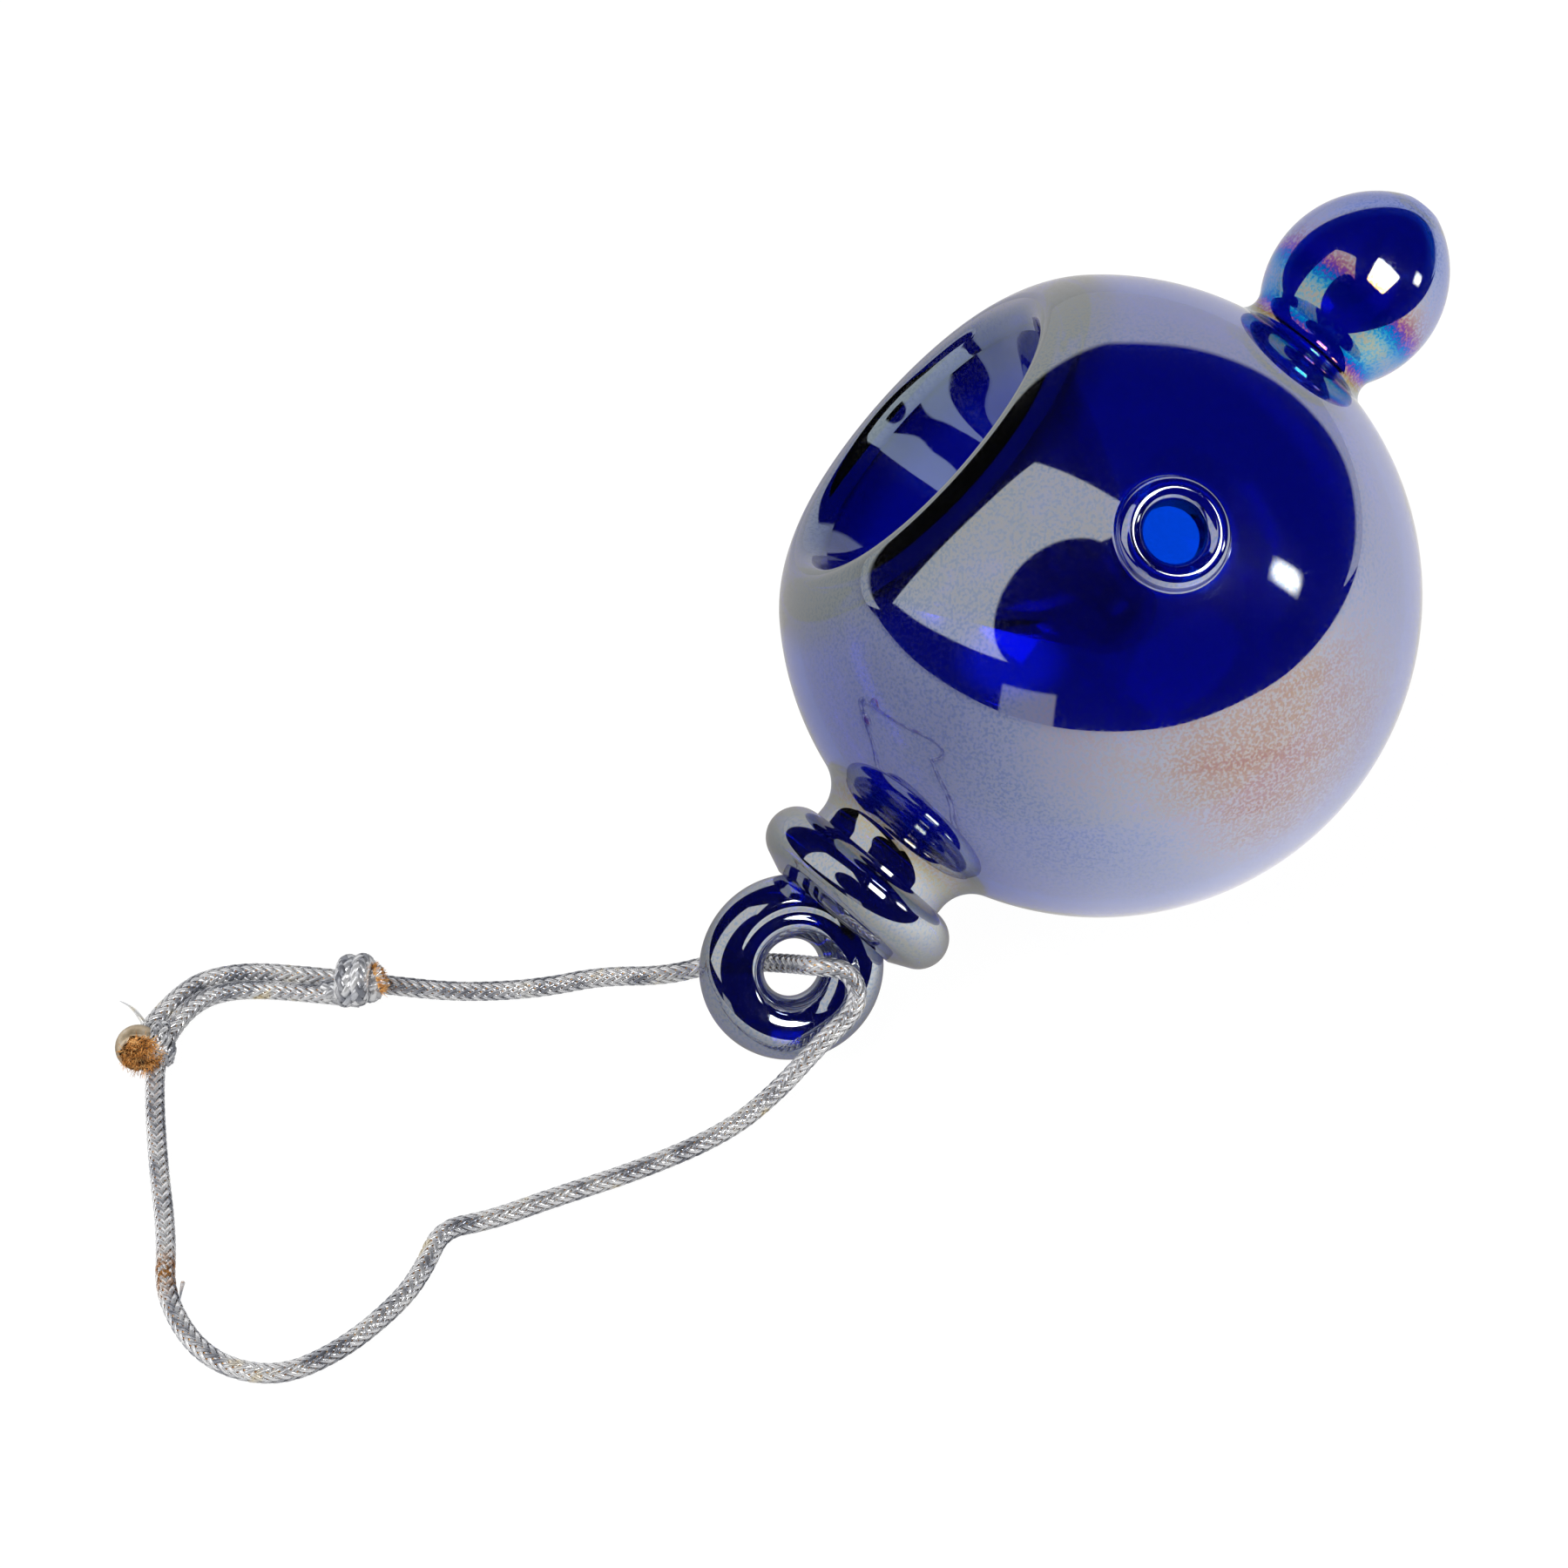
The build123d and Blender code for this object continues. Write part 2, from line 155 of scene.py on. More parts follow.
# blow hole: a rolled lip on a small foot
hole_radius, hole_lip, foot_width, lip_lift = 2.77, 1.2, 0.43, 0.53
lip_outer = hole_radius + 2 * hole_lip
lip_height = height_on(lip_outer + foot_width, globe_radius) + lip_lift
foot_round = lip_height - height_on(lip_outer, globe_radius) - 0.05
foot_centre = (lip_outer + foot_round, height_on(lip_outer + foot_round, globe_radius + foot_round))
hole_outside = arc(foot_centre, foot_round, heading(foot_centre) - 180, -180, 10)
hole_outside += arc((hole_radius + hole_lip, lip_height), hole_lip, 0, 180)
hole_outside += run((hole_radius, lip_height), (hole_radius, height_on(hole_radius, inner_radius)), 0.6)[1:]

# finial: a waisted neck and a hollow knob with a flattened end
finial_waist, finial_foot, finial_wall = 6.42, 1.9, 1.4
bulb_radius, bulb_round, bulb_length, end_round, end_wall = 8.3, 11.0, 10.0, 0.8, 1.8
foot_radius = finial_waist + finial_foot
waist_centre = (foot_radius, height_on(foot_radius, globe_radius + finial_foot))
bulb_offset = bulb_radius - bulb_round
belly_height = waist_centre[1] + height_on(waist_centre[0] - bulb_offset, bulb_round + finial_foot)
bulb_end = belly_height + bulb_length
bulb_centre = (bulb_offset, belly_height)
to_bulb = (bulb_offset - waist_centre[0], belly_height - waist_centre[1])
end_centre = (bulb_offset + height_on(bulb_length - end_round, bulb_round - end_round), bulb_end - end_round)
end_lean = heading((end_centre[0] - bulb_offset, end_centre[1] - belly_height))
finial_outside = arc(waist_centre, finial_foot, heading(waist_centre) - 180, heading(to_bulb) - 360, 8)
finial_outside += arc(bulb_centre, bulb_round, heading(to_bulb) - 180, end_lean, 4, 0.6)[1:]
finial_outside += arc(end_centre, end_round, end_lean, 90, 8)[1:] + [(0.8, bulb_end), (0, bulb_end)]
bore, inner_round = finial_waist - finial_wall, bulb_round - finial_wall
bore_top = belly_height - height_on(bore - bulb_offset, inner_round)
inner_lean = math.degrees(math.asin((bulb_length - end_wall) / inner_round))
finial_inside = run((bore, height_on(bore, inner_radius)), (bore, bore_top))
finial_inside += arc(bulb_centre, inner_round, heading((bore - bulb_offset, bore_top - belly_height)),
                     inner_lean, 5, 0.8)[1:]
finial_inside += [(1.2, bulb_end - end_wall), (0, bulb_end - end_wall)]

# hanger end: a concave neck, a short straight and a pressed flange
waist, waist_height = 7.26, 31.8
neck_round = (waist_height**2 + waist**2 - globe_radius**2) / (2 * (globe_radius - waist))
neck_centre = (waist + neck_round, waist_height)
flange_start, flange_end, flange_lean, flange_radius, flange_round = 32.5, 38.9, 66, 10.26, 2.9
neck_outside = arc(neck_centre, neck_round, heading(neck_centre) - 180, -180, 5)
neck_outside += [(waist, flange_start)]
flange_centre = (flange_radius - flange_round, flange_start + flange_round)
neck_outside += arc(flange_centre, flange_round, -90, flange_lean, 5)
bevel_foot = neck_outside[-1]
face_radius = bevel_foot[0] - (flange_end - bevel_foot[1]) * math.tan(math.radians(flange_lean))
neck_outside += run(bevel_foot, (face_radius, flange_end), 0.9)[1:]

# each face is finished with the lustre outside, the bare glass inside, or the hanger's lustre
glass_points, glass_faces, glass_finishes = [], [], []
lustred, bare_inside, hanger_lustred = 0, 1, 2


def circle_about(axis, radius, height, count):
    """Points round a line through the globe's centre, at a radius and a height along it."""
    across = axis.cross(Vector((0, 0, 1))).normalized()
    other = axis.cross(across)
    return [globe_centre + axis * height
            + across * (radius * math.cos(2 * math.pi * k / count))
            + other * (radius * math.sin(2 * math.pi * k / count)) for k in range(count)]


def turn(axis, section, count, finish):
    """Turns a section about a line, closing it with a fan where it reaches the line."""
    rows = []
    for radius, height in section:
        first = len(glass_points)
        if radius < 1e-6:
            glass_points.append(globe_centre + axis * height)
            rows.append([first] * count)
        else:
            glass_points.extend(circle_about(axis, radius, height, count))
            rows.append(list(range(first, first + count)))
    for row, after in zip(rows, rows[1:]):
        for k in range(count):
            j = (k + 1) % count
            face = [row[k], row[j], after[j], after[k]]
            glass_faces.append(face if after[k] != after[j] else face[:3])
            glass_finishes.append(finish)
    return rows


def skin(radius, edges, spacing, finish):
    """Lays a sphere's skin between the given edges: (axis, edge radius, count)."""
    pole = edges[0][0]
    across = pole.cross(Vector((0, 0, 1))).normalized()
    other = pole.cross(across)
    points, bounds, links = [], [], []
    for axis, edge, count in edges:
        first = len(points)
        points += [p - globe_centre for p in circle_about(axis, edge, height_on(edge, radius), count)]
        links += [(first + k, first + (k + 1) % count) for k in range(count)]
        bounds.append((axis, math.asin(edge / radius)))
    # points in a sunflower spiral, as many as a grid of even triangles would have
    total = int(4 * math.pi * radius**2 / (0.866 * spacing**2))
    for i in range(total):
        z = 1 - (2 * i + 1) / total
        a = math.pi * (3 - math.sqrt(5)) * i
        p = Vector((math.sqrt(1 - z * z) * math.cos(a), math.sqrt(1 - z * z) * math.sin(a), z))
        if all(p.angle(axis) > edge + 0.6 * spacing / radius for axis, edge in bounds):
            points.append(p * radius)
    flat = [Vector((p.dot(across), p.dot(other))) / (radius - p.dot(pole)) for p in points]
    triangles = delaunay_2d_cdt(flat, links, [], 0, 1e-9)[2]
    first = len(glass_points)
    glass_points.extend(globe_centre + p for p in points)
    for face in triangles:
        middle = sum((points[v] for v in face), Vector())
        if all(middle.angle(axis) > edge for axis, edge in bounds):
            glass_faces.append([first + v for v in face])
            glass_finishes.append(finish)


eye_sides, eye_back_sides, hole_sides, finial_sides, bore_sides, hanger_sides = 180, 120, 72, 96, 72, 108
turn(eye_axis, eye_outside, eye_sides, lustred)
turn(eye_axis, eye_inside, eye_back_sides, bare_inside)
turn(hole_axis, hole_outside, hole_sides, lustred)
turn(main_axis, finial_outside, finial_sides, lustred)
turn(main_axis, finial_inside, bore_sides, bare_inside)
flange_rim = turn(hanger_axis, neck_outside, hanger_sides, hanger_lustred)[-1]
skin(globe_radius, [(eye_axis, eye_outside[0][0], eye_sides), (hole_axis, hole_outside[0][0], hole_sides),
                    (main_axis, finial_outside[0][0], finial_sides),
                    (hanger_axis, neck_outside[0][0], hanger_sides)], 0.75, lustred)
skin(inner_radius, [(eye_axis, eye_inside[0][0], eye_back_sides), (hole_axis, hole_radius, hole_sides),
                    (main_axis, bore, bore_sides)], 1.0, bare_inside)

# the ring's rod, cut where it is sunk into the flange, and the flange's face laid round it
ring_mesh = bmesh.new()
rod_radius, ring_radius, ring_steps, rod_steps = 3.0, 5.76, 144, 96
seam_depth, seam_width = 0.42, 13
side = ring_axis.cross(hanger_axis)


def wrapped_rod(turn_angle):
    """The rod's section with the seam between its two turns, which closes away from the flange."""
    section = []
    depth = seam_depth * (1 - math.cos(turn_angle - math.radians(45))) / 2
    for j in range(rod_steps):
        b = 2 * math.pi * j / rod_steps
        off_seam = math.degrees(abs(b - math.pi) - math.pi / 2) + 9 + 5 * math.sin(turn_angle + 0.6)
        section.append((b, rod_radius - depth * math.exp(-((off_seam / seam_width) ** 2))))
    return section


rows = []
for i in range(ring_steps):
    a = 2 * math.pi * i / ring_steps
    out = hanger_axis * math.cos(a) + side * math.sin(a)
    rows.append([ring_mesh.verts.new(ring_centre + out * (ring_radius + reach * math.cos(b))
                                     + ring_axis * (reach * math.sin(b)))
                 for b, reach in wrapped_rod(a)])
for i in range(ring_steps):
    row, after = rows[i], rows[(i + 1) % ring_steps]
    for j in range(rod_steps):
        k = (j + 1) % rod_steps
        ring_mesh.faces.new((row[j], after[j], after[k], row[k]))
face_point = globe_centre + hanger_axis * flange_end
bmesh.ops.bisect_plane(ring_mesh, geom=ring_mesh.verts[:] + ring_mesh.edges[:] + ring_mesh.faces[:],
                       dist=1e-4, plane_co=face_point, plane_no=hanger_axis, clear_inner=True)
ring_mesh.verts.index_update()
first = len(glass_points)
glass_points.extend(v.co.copy() for v in ring_mesh.verts)
for face in ring_mesh.faces:
    glass_faces.append([first + v.index for v in face.verts])
    glass_finishes.append(hanger_lustred)
sunk = [(e.verts[0].index, e.verts[1].index) for e in ring_mesh.edges if e.is_boundary]
ring_mesh.free()
used = sorted({v for e in sunk for v in e})
face_ids = flange_rim + [first + v for v in used]
order = {v: len(flange_rim) + i for i, v in enumerate(used)}
links = [(k, (k + 1) % len(flange_rim)) for k in range(len(flange_rim))]
links += [(order[a], order[b]) for a, b in sunk]
flat = [Vector(((glass_points[v] - face_point).dot(side), (glass_points[v] - face_point).dot(ring_axis)))
        for v in face_ids]
for face in delaunay_2d_cdt(flat, links, [], 0, 1e-9)[2]:
    middle = sum((glass_points[face_ids[v]] for v in face), Vector()) / 3 - ring_centre
    off_axis = middle.dot(ring_axis)
    from_rod = math.hypot((middle - ring_axis * off_axis).length - ring_radius, off_axis)
    if from_rod > rod_radius:
        glass_faces.append([face_ids[v] for v in face])
        glass_finishes.append(hanger_lustred)

glass_mesh = bpy.data.meshes.new("glass_body")
glass_mesh.from_pydata([p * mm for p in glass_points], [], glass_faces)
glass_mesh.polygons.foreach_set("material_index", glass_finishes)
fuse = bmesh.new()
fuse.from_mesh(glass_mesh)
bmesh.ops.remove_doubles(fuse, verts=fuse.verts[:], dist=2e-6)
bmesh.ops.dissolve_degenerate(fuse, dist=1e-7, edges=fuse.edges[:])
bmesh.ops.recalc_face_normals(fuse, faces=fuse.faces[:])
for face in fuse.faces:
    face.smooth = True
fuse.to_mesh(glass_mesh)
fuse.free()
glass_mesh.set_sharp_from_angle(angle=math.radians(38))


def placed(name, data):
    """Puts an object in the scene, with its place in its data."""
    thing = bpy.data.objects.new(name, data)
    bpy.context.scene.collection.objects.link(thing)
    return thing


glass_body = placed("glass_body", glass_mesh)


def fill(tree, node, inputs):
    """Fills a node's inputs with links or plain values."""
    for socket, value in dict(inputs).items():
        if isinstance(value, bpy.types.NodeSocket):
            tree.links.new(value, node.inputs[socket])
        else:
            node.inputs[socket].default_value = value


def add_node(tree, kind, inputs=(), **settings):
    """Places a node, sets its properties and fills its inputs."""
    node = tree.nodes.new(kind)
    for name, value in settings.items():
        setattr(node, name, value)
    fill(tree, node, inputs)
    return node


def calc(tree, operation, *values, clamp=False):
    """One step of arithmetic in a node tree."""
    node = add_node(tree, "ShaderNodeMath", enumerate(values), operation=operation)
    node.use_clamp = clamp
    return node.outputs[0]


def times(tree, value, *others):
    """A value times one or more others in a node tree."""
    for other in others:
        value = calc(tree, "MULTIPLY", value, other)
    return value


def vector_calc(tree, operation, *vectors, **inputs):
    """One step of vector arithmetic in a node tree, which gives a vector or a number."""
    for i, vector in enumerate(vectors):
        inputs[i] = vector if isinstance(vector, bpy.types.NodeSocket) else tuple(vector)
    node = add_node(tree, "ShaderNodeVectorMath", inputs, operation=operation)
    return node.outputs["Value" if operation in ("DOT_PRODUCT", "DISTANCE", "LENGTH") else "Vector"]


def spread(tree, value, start, stop, low=0.0, high=1.0, smooth=False):
    """Takes a value from start..stop to low..high, held past both ends."""
    return add_node(tree, "ShaderNodeMapRange", {0: value, 1: start, 2: stop, 3: low, 4: high},
                    interpolation_type="SMOOTHSTEP" if smooth else "LINEAR").outputs[0]


def noise(tree, place, scale, detail, roughness=0.5):
    return add_node(tree, "ShaderNodeTexNoise", {"Vector": place, "Scale": scale, "Detail": detail,
                                                 "Roughness": roughness}).outputs[0]


def blend(tree, share, under, over):
    """Lays a plain colour over another colour by a share."""
    return add_node(tree, "ShaderNodeMix", {0: share, 6: under, 7: (*over, 1)}, data_type="RGBA").outputs[2]


def bump(tree, height, strength, depth):
    return add_node(tree, "ShaderNodeBump", {"Height": height, "Strength": strength,
                                             "Distance": depth}).outputs[0]


def new_material(name):
    """A material with its tree, its shader and the place on the object that it colours."""
    material = bpy.data.materials.new(name)
    material.use_nodes = True
    tree = material.node_tree
    place = add_node(tree, "ShaderNodeTexCoord").outputs["Object"]
    return material, tree, tree.nodes["Principled BSDF"], place


def ramp(tree, value, stops):
    """A colour ramp with these stops: (position, grey or colour)."""
    node = add_node(tree, "ShaderNodeValToRGB", {0: value})
    elements = node.color_ramp.elements
    while len(elements) < len(stops):
        elements.new(0.5)
    for element, (position, colour) in zip(elements, stops):
        element.position = position
        element.color = (*(colour if isinstance(colour, tuple) else (colour,) * 3), 1)
    return node.outputs[0]


# The glass itself: one wall lets through this much of each colour, and the rim and hanger less.
wall_colour = (0.0004, 0.050, 0.66)
rim_colour = (0.0, 0.0012, 0.17)
hanger_colour = (0.0, 0.0016, 0.18)
# places from the globe's centre in millimetres, how far each reaches, and how much it adds in nm
gold_spots = (((-3.0, -29.6, 3.8), 18.0, 28.0), ((-9.8, -28.3, 0.0), 13.0, 9.0),
              ((-18.8, -21.2, 9.8), 12.0, 18.0))
finial_flat, flat_reach, flat_depth = globe_centre + Vector((31.5, -4.96, 25.36)), 3.6, 0.40


def lustre_glass(name, colour, film_index, stops, cloud_depth, ripple_height):
    """Cobalt glass under a film of metal oxide, thicker where the flame lingered: (height, nm)."""
    material, tree, shader, place = new_material(name)
    from_centre = vector_calc(tree, "SUBTRACT", place, globe_centre * mm)
    low, high, thickest = stops[0][0], stops[-1][0], 250.0
    height = spread(tree, vector_calc(tree, "DOT_PRODUCT", from_centre, main_axis / mm), low, high)
    heat = ramp(tree, height, [((h - low) / (high - low), t / thickest) for h, t in stops])
    clouds = calc(tree, "SUBTRACT", noise(tree, place, 45.0, 3.0, 0.55), 0.5)
    film = calc(tree, "ADD", times(tree, heat, thickest), times(tree, clouds, cloud_depth))
    streaks = add_node(tree, "ShaderNodeMapping",
                       {"Vector": from_centre, "Rotation": (0.3, 0.9, 0.5), "Scale": (60.0, 60.0, 330.0)},
                       vector_type="POINT").outputs[0]
    streaks = calc(tree, "ADD", times(tree, noise(tree, streaks, 1.0, 1.0), 0.7), 0.45)
    for spot, reach, extra in gold_spots:
        away = vector_calc(tree, "DISTANCE", from_centre, Vector(spot) * mm)
        patch = spread(tree, away, reach * mm, 0.35 * reach * mm, 0.0, extra, smooth=True)
        film = calc(tree, "ADD", film, times(tree, patch, streaks))

    # where the cup is, and where its thick rim is, by height along the eye's axis and distance off it
    along_eye = vector_calc(tree, "DOT_PRODUCT", from_centre, eye_axis / mm)
    off_eye = vector_calc(tree, "LENGTH", vector_calc(tree, "CROSS_PRODUCT", from_centre, eye_axis / mm))
    in_cup = times(tree, spread(tree, off_eye, 16.5, 14.5), spread(tree, along_eye, -12.0, -7.0))
    from_rim = add_node(tree, "ShaderNodeCombineXYZ", {0: off_eye, 1: along_eye}).outputs[0]
    from_rim = vector_calc(tree, "DISTANCE", from_rim, (17.5, 20.3, 0))
    in_rim = spread(tree, from_rim, 6.0, 3.4, smooth=True)

    # fine specks where the film did not take, and a haze of grain over the rest
    grain = noise(tree, place, 3300.0, 1.5)
    bare = spread(tree, grain, 0.45, 0.62, 0.0, 18.0)
    bare = times(tree, bare, calc(tree, "SUBTRACT", 1.0, in_cup))
    film = calc(tree, "SUBTRACT", film, calc(tree, "ADD", bare, times(tree, in_cup, 32.0)))

    # slow waves in the blown skin, deeper in the cup, and one flat where the finial was marvered
    waves = calc(tree, "ADD", times(tree, noise(tree, place, 70.0, 1.0), ripple_height),
                 times(tree, noise(tree, place, 95.0, 0.0), in_cup, 1.7))
    away = calc(tree, "DIVIDE", vector_calc(tree, "DISTANCE", place, finial_flat * mm), flat_reach * mm)
    flat = calc(tree, "EXPONENT", times(tree, calc(tree, "POWER", away, 2.0), -1.0))
    waves = calc(tree, "SUBTRACT", waves, times(tree, flat, flat_depth))
    fill(tree, shader, {"Base Color": blend(tree, in_rim, (*colour, 1), rim_colour),
                        "Transmission Weight": 1.0, "IOR": 1.5,
                        "Thin Film Thickness": film, "Thin Film IOR": film_index,
                        "Roughness": spread(tree, grain, 0.35, 0.7, 0.0, 0.07),
                        "Coat Weight": spread(tree, grain, 0.40, 0.66, 0.0, 0.45),
                        "Coat Roughness": 0.3, "Coat IOR": 1.6, "Normal": bump(tree, waves, 1.0, 1.0 * mm)})
    return material


lustre = lustre_glass("cobalt_glass_lustre", wall_colour, 2.4,
                      [(-30, 53), (-16, 52), (-6, 59), (24, 59), (28.5, 68), (30.5, 110), (32, 165),
                       (33.5, 182), (35, 150), (36.5, 114), (38, 84), (40, 64), (43, 46), (48, 38)],
                      16.0, 0.10)
plain, tree, shader, place = new_material("cobalt_glass_inside")
fill(tree, shader, {"Base Color": (*wall_colour, 1), "Transmission Weight": 1.0, "IOR": 1.5,
                    "Roughness": 0.0})
hanger_lustre = lustre_glass("cobalt_glass_hanger", hanger_colour, 2.7,
                             [(-56, 50), (-39, 52), (-33, 54), (-31.5, 58), (-29.5, 70), (-27, 60),
                              (-24, 56)], 8.0, 0.20)
for material in (lustre, plain, hanger_lustre):
    glass_mesh.materials.append(material)
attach(glass_body, "ornament")
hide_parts("globe", "eye_cup", "blow_hole_lip", "hanger_neck", "neck_flange", "hanger_ring",
            "finial_neck", "finial_bulb")


# ---- cord core ---------------------------------------------------
# The hanging cord's brown fibre core, one length from its cut end at the far knot along the lap,
# back through the ring and over its rod, round the loop and along the lap to the near knot.
# Its line is led by places from under the ring, and lies on the table where no height is given.
cord_diameter, core_radius, lying = 1.8 * mm, 0.74 * mm, 0.95
route = [(-47.9, 38.5), (-41.1, 41.3), (-35.4, 39.6), (-30.2, 33.9), (-25.2, 27.6), (-21.2, 22.9),
         (-15.6, 18.4), (-10.2, 15.6), (-5.6, 11.4), (-1.2, 9.2, 1.3), (-0.2, 5.8, 3.6), (0.6, 0.6, 7.1),
         (0.1, -3.1, 10.3), (2.5, -5.4, 9.9), (1.9, -7.5, 7.1), (-2.9, -7.1, 5.1), (-7.2, -6.1),
         (-14.1, -6.6), (-22.6, -4.6), (-31.1, -1.5), (-37.0, 0.4), (-40.8, 2.6), (-44.8, 0.2),
         (-49.0, -1.3), (-56.2, -1.9), (-62.5, -0.3), (-65.8, 5.6), (-64.2, 13.4), (-59.8, 18.6),
         (-55.2, 25.8), (-50.4, 32.6), (-47.0, 36.6), (-41.0, 39.2), (-36.6, 37.8), (-31.8, 32.6),
         (-28.8, 28.9)]
under_ring = Vector((ring_centre.x, 0, 0))


def smooth_line(name, corners):
    """A smooth open curve led by these corners, in millimetres."""
    data = bpy.data.curves.new(name, "CURVE")
    data.dimensions = "3D"
    spline = data.splines.new("NURBS")
    spline.points.add(len(corners) - 1)
    for point, corner in zip(spline.points, corners):
        point.co = (*(Vector(corner) * mm), 1)
    spline.order_u = 3
    spline.use_endpoint_u = True
    data.resolution_u = 16
    return placed(name, data)


def made_mesh(piece):
    """What an object shows once its curve or modifier has run, as a plain mesh."""
    depsgraph = bpy.context.evaluated_depsgraph_get()
    return bpy.data.meshes.new_from_object(piece.evaluated_get(depsgraph), preserve_all_data_layers=True,
                                           depsgraph=depsgraph)


def round_off(line, radius, sides):
    """Gives a line a round section with closed ends."""
    line.data.bevel_depth = radius
    line.data.bevel_resolution = sides
    line.data.use_fill_caps = True


cord_core = smooth_line("cord_core", [under_ring + Vector((*p, lying)[:3]) for p in route])
cord_line = made_mesh(cord_core)
round_off(cord_core, core_radius, 3)

fibre, tree, shader, place = new_material("brown_fibre")
tuft, singe = noise(tree, place, 1500.0, 4.0), noise(tree, place, 420.0, 3.0)
tan = ramp(tree, tuft, [(0.30, (0.14, 0.05, 0.012)), (0.50, (0.56, 0.25, 0.06)), (0.70, (0.90, 0.58, 0.24))])
tan = blend(tree, spread(tree, singe, 0.42, 0.30), tan, (0.03, 0.012, 0.006))
fill(tree, shader, {"Base Color": tan, "Roughness": 0.85, "Normal": bump(tree, tuft, 0.8, 0.0002)})
cord_core.data.materials.append(fibre)
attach(cord_core, "hanging_cord")


# ---- cord braid --------------------------------------------------
# Flat silver foil strands, eight wound each way over the core, over two and under two, which
# gives the herringbone. The foil is creased and has gone dull and gold where it is worn, and the
# strands wound one way carry painted shade.
def new_tree(name, sizes, material, result):
    """A Geometry Nodes tree that works on a mesh, with named sizes: (name, kind, value)."""
    tree = bpy.data.node_groups.new(name, "GeometryNodeTree")
    for title, kind, value in (("Start", "Geometry", None), *sizes, (material, "Material", None)):
        socket = tree.interface.new_socket(title, in_out="INPUT", socket_type="NodeSocket" + kind)
        if value is not None:
            socket.default_value = value
    tree.interface.new_socket(result, in_out="OUTPUT", socket_type="NodeSocketGeometry")
    return tree, add_node(tree, "NodeGroupInput").outputs


def end_tree(tree, mesh, material):
    """Ends a tree in one plain mesh of one material."""
    mesh = add_node(tree, "GeometryNodeRealizeInstances", {0: mesh}).outputs[0]
    mesh = add_node(tree, "GeometryNodeSetMaterial", {"Geometry": mesh, "Material": material}).outputs[0]
    add_node(tree, "NodeGroupOutput", {0: mesh})


def worked(name, start, tree, sizes):
    """A piece of the hanging cord that a tree makes from a starting mesh, with these sizes."""
    piece = placed(name, start)
    maker = piece.modifiers.new(name, "NODES")
    maker.node_group = tree
    for item in tree.interface.items_tree:
        if item.in_out == "INPUT" and item.name in sizes:
            maker[item.identifier] = sizes[item.name]
    mesh = made_mesh(piece)
    piece.modifiers.clear()
    piece.data = mesh
    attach(piece, "hanging_cord")
    return piece


braid_tree, given = new_tree("foil_braid", (
    ("Strands each way", "Int", 8), ("Pitch", "Float", 8 * mm), ("Radius", "Float", 0.80 * mm),
    ("Lift", "Float", 0.065 * mm), ("Strand width", "Float", 0.46 * mm),
    ("Strand thickness", "Float", 0.12 * mm), ("Step", "Float", 0.25 * mm)), "Foil", "Braid")


def braid_node(kind, inputs=(), **settings):
    return add_node(braid_tree, kind, inputs, **settings)


def braid_calc(operation, *values):
    return calc(braid_tree, operation, *values)


def store(shape, name, value, kind="FLOAT"):
    """Keeps a value on the points of a shape, to be read further on."""
    return braid_node("GeometryNodeStoreNamedAttribute", {"Geometry": shape, "Name": name, "Value": value},
                      data_type=kind).outputs[0]


def stored(name, kind="FLOAT"):
    return braid_node("GeometryNodeInputNamedAttribute", {"Name": name}, data_type=kind).outputs["Attribute"]


# every strand starts as a copy of the line, which knows its outward and onward directions and its length
line = braid_node("GeometryNodeMeshToCurve", {0: given["Start"]}).outputs[0]
line = braid_node("GeometryNodeResampleCurve", {"Curve": line, "Length": given["Step"]},
                  mode="LENGTH").outputs[0]
line = store(line, "out", braid_node("GeometryNodeInputNormal").outputs[0], "FLOAT_VECTOR")
line = store(line, "ahead", braid_node("GeometryNodeInputTangent").outputs[0], "FLOAT_VECTOR")
line = store(line, "reach", braid_node("GeometryNodeSplineParameter").outputs["Length"])
both = times(braid_tree, given["Strands each way"], 2.0)
copies = braid_node("GeometryNodeDuplicateElements", {"Geometry": line, "Amount": both}, domain="SPLINE")
number = copies.outputs["Duplicate Index"]

# half of them wind each way, and each rises and dips as it goes over two and under two
second = braid_calc("GREATER_THAN", number, braid_calc("SUBTRACT", given["Strands each way"], 0.5))
way = braid_calc("SUBTRACT", 1.0, times(braid_tree, second, 2.0))
strand = braid_calc("SUBTRACT", number, times(braid_tree, second, given["Strands each way"]))
turns = braid_calc("DIVIDE", stored("reach"), given["Pitch"])
angle = braid_calc("ADD", braid_calc("DIVIDE", strand, given["Strands each way"]),
                   times(braid_tree, turns, way))
angle = times(braid_tree, angle, 2 * math.pi)
crossings = times(braid_tree, turns, both, way)
phase = braid_calc("ADD", times(braid_tree, strand, 2.0), crossings)
phase = times(braid_tree, braid_calc("SUBTRACT", phase, 0.5), math.pi / 2)
wave = times(braid_tree, braid_calc("COSINE", phase), way, 1.5)
wave = braid_calc("MAXIMUM", braid_calc("MINIMUM", wave, 1.0), -1.0)
radius = braid_calc("ADD", given["Radius"], times(braid_tree, wave, given["Lift"]))
outward = braid_node("ShaderNodeVectorRotate",
                     {"Vector": stored("out", "FLOAT_VECTOR"), "Axis": stored("ahead", "FLOAT_VECTOR"),
                      "Angle": angle}).outputs[0]
offset = vector_calc(braid_tree, "SCALE", outward, Scale=radius)
strands = store(copies.outputs["Geometry"], "radial", outward, "FLOAT_VECTOR")
strands = store(strands, "strand", number)
strands = braid_node("GeometryNodeSetPosition", {"Geometry": strands, "Offset": offset}).outputs[0]
strands = braid_node("GeometryNodeSetCurveNormal",
                     {"Curve": strands, "Normal": stored("radial", "FLOAT_VECTOR")}, mode="FREE").outputs[0]
